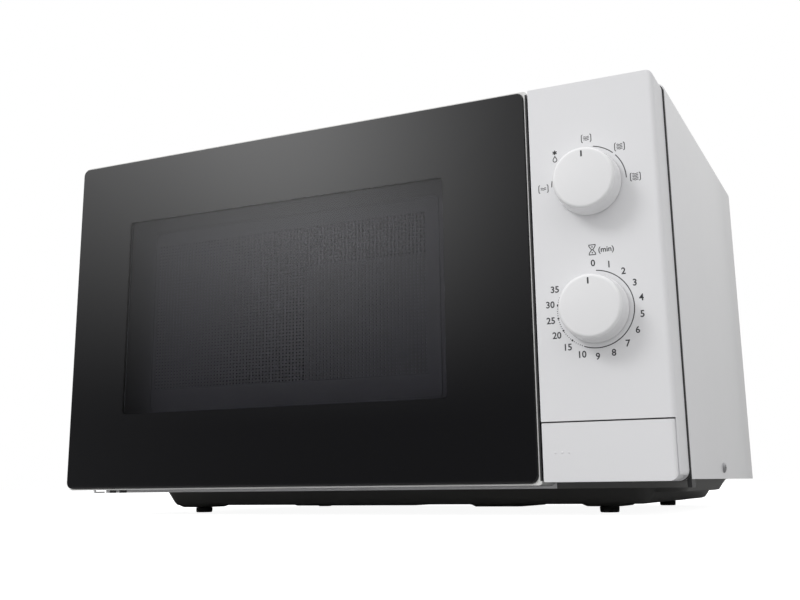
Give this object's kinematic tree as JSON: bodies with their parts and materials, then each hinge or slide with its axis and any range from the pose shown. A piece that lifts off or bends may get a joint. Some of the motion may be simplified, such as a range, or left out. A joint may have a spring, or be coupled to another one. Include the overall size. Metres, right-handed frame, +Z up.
{
  "type": "microwave oven",
  "caption": "Countertop microwave oven with a black glass side-hinged door, two dials and a push-to-open plate, with its cavity, turntable and works inside.",
  "frame": {"origin": "bottom centre of the whole oven: under its middle, on the surface the feet stand on", "axes": "+Z up, +Y from the door to the rear, +X from the door hinge to the control panel"},
  "size_m": [0.455, 0.34, 0.2708],
  "materials": {
    "white_enamel": "glossy white powder coat",
    "white_plastic": "satin white moulding",
    "knob_plastic": "smooth white moulding",
    "black_glass": "black-backed tempered glass with a tinted window",
    "black_plastic": "fine matt moulding",
    "grey_plastic": "natural grey moulding",
    "red_plastic": "moulded plunger",
    "clear_glass": "clear pressed glass",
    "cavity_enamel": "grey oven enamel",
    "zinc_sheet": "zinc-plated sheet",
    "dark_coated_steel": "dark coated sheet",
    "winding": "varnished copper winding",
    "laminations": "stacked steel laminations",
    "aluminium": "bare aluminium",
    "mica": "mica board",
    "circuit_board": "printed board with parts",
    "rubber": "moulded rubber"
  },
  "bodies": {
    "chassis": {"outer_cabinet": "white_enamel", "front_plate": "white_enamel", "rear_panel": "zinc_sheet", "base_pan": "dark_coated_steel", "cord_gland": "rubber", "foot_front_left": "rubber", "foot_rear_left": "rubber", "foot_front_right": "rubber", "foot_rear_right": "rubber", "cavity_floor": "cavity_enamel", "cavity_ceiling": "cavity_enamel", "cavity_left_wall": "cavity_enamel", "cavity_right_wall": "cavity_enamel", "cavity_rear_wall": "cavity_enamel", "waveguide": "zinc_sheet", "waveguide_cover": "mica", "magnetron": "aluminium", "transformer_core": "laminations", "primary_coil": "winding", "secondary_coil": "winding", "capacitor": "aluminium", "capacitor_clamp": "zinc_sheet", "hv_diode": "black_plastic", "filter_board": "circuit_board", "fan_housing": "grey_plastic", "fan_motor": "laminations", "lamp_holder": "grey_plastic", "cavity_lamp": "clear_glass", "thermal_cutout": "black_plastic", "turntable_motor": "zinc_sheet", "lower_hinge": "zinc_sheet", "upper_hinge": "zinc_sheet", "control_panel": "white_plastic", "power_selector": "black_plastic", "timer_unit": "zinc_sheet", "latch_board": "grey_plastic", "primary_switch": "black_plastic", "monitor_switch": "black_plastic", "secondary_switch": "black_plastic"},
    "door": {"door_glass": "black_glass", "door_frame": "grey_plastic", "door_panel": "dark_coated_steel", "choke_cover": "black_plastic"},
    "latch": {"latch_hook": "grey_plastic"},
    "release_button": {"door_release_button": "white_plastic"},
    "release_lever": {"release_lever": "grey_plastic"},
    "power_dial": {"power_knob": "knob_plastic", "power_shaft": "zinc_sheet"},
    "timer_dial": {"timer_knob": "knob_plastic", "timer_shaft": "zinc_sheet"},
    "turntable_drive": {"turntable_coupler": "grey_plastic"},
    "tray": {"glass_tray": "clear_glass"},
    "roller_ring": {"roller_ring": "grey_plastic"},
    "roller_wheel_1": {"roller_wheel_1": "grey_plastic"},
    "roller_wheel_2": {"roller_wheel_2": "grey_plastic"},
    "roller_wheel_3": {"roller_wheel_3": "grey_plastic"},
    "fan": {"fan_blade": "grey_plastic"},
    "primary_plunger": {"primary_plunger": "red_plastic"},
    "monitor_plunger": {"monitor_plunger": "red_plastic"},
    "secondary_plunger": {"secondary_plunger": "red_plastic"}
  },
  "joints": [
    {"name": "door_hinge", "type": "hinge", "parent": "chassis", "child": "door", "pos_m": [-0.2195, -0.13605, 0.1438], "axis": [0, 0, -1], "range_deg": [0, 95]},
    {"name": "latch_hook_slide", "type": "slide", "parent": "door", "child": "latch", "axis": [0, 0, 1], "range_m": [0, 0.004], "stiffness_N_per_m": 300, "springref_m": -0.006},
    {"name": "release_button_push", "type": "slide", "parent": "chassis", "child": "release_button", "axis": [0, 1, 0], "range_m": [0, 0.005], "stiffness_N_per_m": 500, "springref_m": -0.006},
    {"name": "release_lever_turn", "type": "hinge", "parent": "chassis", "child": "release_lever", "pos_m": [0.1525, -0.11125, 0.0673], "axis": [1, 0, 0], "range_deg": [0, 10]},
    {"name": "power_dial_turn", "type": "hinge", "parent": "chassis", "child": "power_dial", "pos_m": [0.1825, -0.15555, 0.2014], "axis": [0, 1, 0], "range_deg": [-90, 90]},
    {"name": "timer_dial_turn", "type": "hinge", "parent": "chassis", "child": "timer_dial", "pos_m": [0.1825, -0.15555, 0.122], "axis": [0, 1, 0], "range_deg": [0, 300]},
    {"name": "turntable_spin", "type": "hinge", "parent": "chassis", "child": "turntable_drive", "pos_m": [-0.0445, 0.0121, 0.0443], "axis": [0, 0, 1], "continuous": true},
    {"name": "tray_lift", "type": "slide", "parent": "turntable_drive", "child": "tray", "axis": [0, 0, 1], "range_m": [0, 0.03]},
    {"name": "roller_ring_spin", "type": "hinge", "parent": "chassis", "child": "roller_ring", "pos_m": [-0.0445, 0.0121, 0.0466], "axis": [0, 0, 1], "continuous": true},
    {"name": "fan_spin", "type": "hinge", "parent": "chassis", "child": "fan", "pos_m": [0.17115, 0.13445, 0.1813], "axis": [0, 1, 0], "continuous": true},
    {"name": "roller_wheel_1_spin", "type": "hinge", "parent": "roller_ring", "child": "roller_wheel_1", "pos_m": [0.0535, 0.0121, 0.0466], "axis": [1, 0, 0], "continuous": true},
    {"name": "roller_wheel_2_spin", "type": "hinge", "parent": "roller_ring", "child": "roller_wheel_2", "pos_m": [-0.0935, 0.09697, 0.0466], "axis": [-0.5, 0.866, 0], "continuous": true},
    {"name": "roller_wheel_3_spin", "type": "hinge", "parent": "roller_ring", "child": "roller_wheel_3", "pos_m": [-0.0935, -0.07277, 0.0466], "axis": [-0.5, -0.866, 0], "continuous": true},
    {"name": "primary_plunger_slide", "type": "slide", "parent": "chassis", "child": "primary_plunger", "axis": [0, 1, 0], "range_m": [0, 0.0015], "stiffness_N_per_m": 200, "springref_m": -0.002},
    {"name": "monitor_plunger_slide", "type": "slide", "parent": "chassis", "child": "monitor_plunger", "axis": [0, 1, 0], "range_m": [0, 0.0015], "stiffness_N_per_m": 200, "springref_m": -0.002},
    {"name": "secondary_plunger_slide", "type": "slide", "parent": "chassis", "child": "secondary_plunger", "axis": [0, 1, 0], "range_m": [0, 0.0015], "stiffness_N_per_m": 200, "springref_m": -0.002}
  ],
  "couplings": [
    {"joint": "release_lever_turn", "follows": "release_button_push", "rad_per_m": 33.898},
    {"joint": "roller_ring_spin", "follows": "turntable_spin", "ratio": 0.5},
    {"joint": "roller_wheel_1_spin", "follows": "turntable_spin", "ratio": -7},
    {"joint": "roller_wheel_2_spin", "follows": "turntable_spin", "ratio": -7},
    {"joint": "roller_wheel_3_spin", "follows": "turntable_spin", "ratio": -7}
  ]
}
